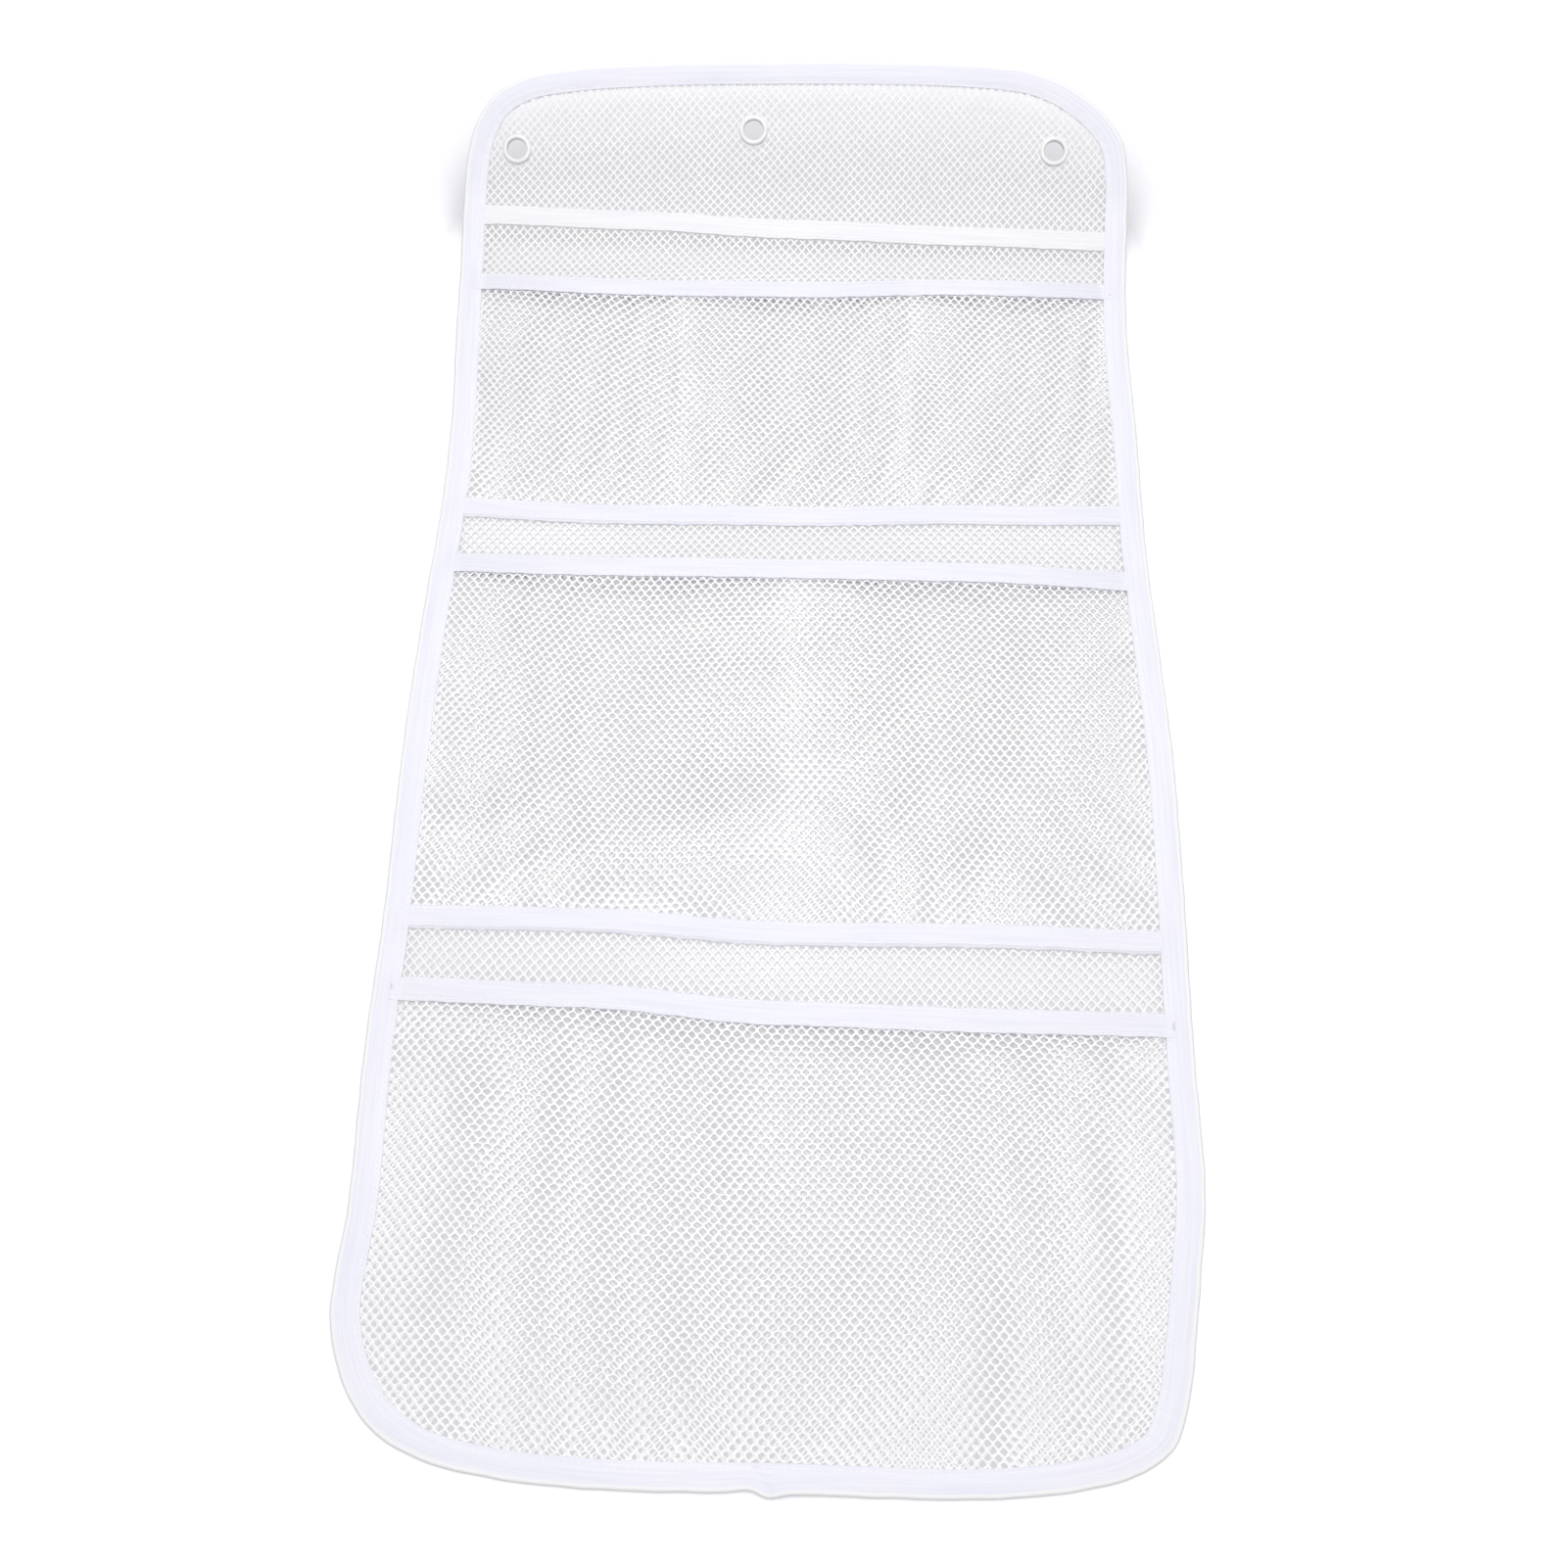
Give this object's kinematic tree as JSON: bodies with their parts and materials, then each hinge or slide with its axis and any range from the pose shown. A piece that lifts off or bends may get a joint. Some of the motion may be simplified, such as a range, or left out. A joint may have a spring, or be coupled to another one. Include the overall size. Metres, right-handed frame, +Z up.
{
  "type": "mesh shower caddy",
  "caption": "Flat hanging shower caddy of diamond mesh cloth with rows of mesh pockets, bound edges, sewn cross tapes and plastic grommets along its header.",
  "frame": {"origin": "middle of the bounding box on the floor that the caddy lies on", "axes": "+X to the caddy's right seen from its pocket side, +Y from the lowest pocket to the grommets, +Z up out of the pocket side"},
  "size_m": [0.366, 0.7176, 0.0529],
  "materials": {
    "net": "open diamond mesh, matt white",
    "tape": "close weave, matt white",
    "thread": "white sewing thread, slight sheen",
    "plastic": "milky white, smooth"
  },
  "bodies": {
    "root": {"back_panel": "net", "upper_pocket_panel": "net", "middle_pocket_panel": "net", "lower_pocket_panel": "net", "edge_binding": "tape", "edge_binding_stitch": "thread", "header_tape": "tape", "header_tape_stitch_upper": "thread", "header_tape_stitch_lower": "thread", "upper_rim_tape": "tape", "upper_rim_tape_stitch_upper": "thread", "upper_rim_tape_stitch_lower": "thread", "upper_base_tape": "tape", "upper_base_tape_stitch_upper": "thread", "upper_base_tape_stitch_lower": "thread", "middle_rim_tape": "tape", "middle_rim_tape_stitch_upper": "thread", "middle_rim_tape_stitch_lower": "thread", "middle_base_tape": "tape", "middle_base_tape_stitch_upper": "thread", "middle_base_tape_stitch_lower": "thread", "lower_rim_tape": "tape", "lower_rim_tape_stitch_upper": "thread", "lower_rim_tape_stitch_lower": "thread", "upper_divider_seam_left": "thread", "upper_divider_seam_right": "thread", "middle_divider_seam": "thread", "grommet_left_eyelet": "plastic", "grommet_left_washer": "plastic", "grommet_centre_eyelet": "plastic", "grommet_centre_washer": "plastic", "grommet_right_eyelet": "plastic", "grommet_right_washer": "plastic"}
  },
  "joints": []
}
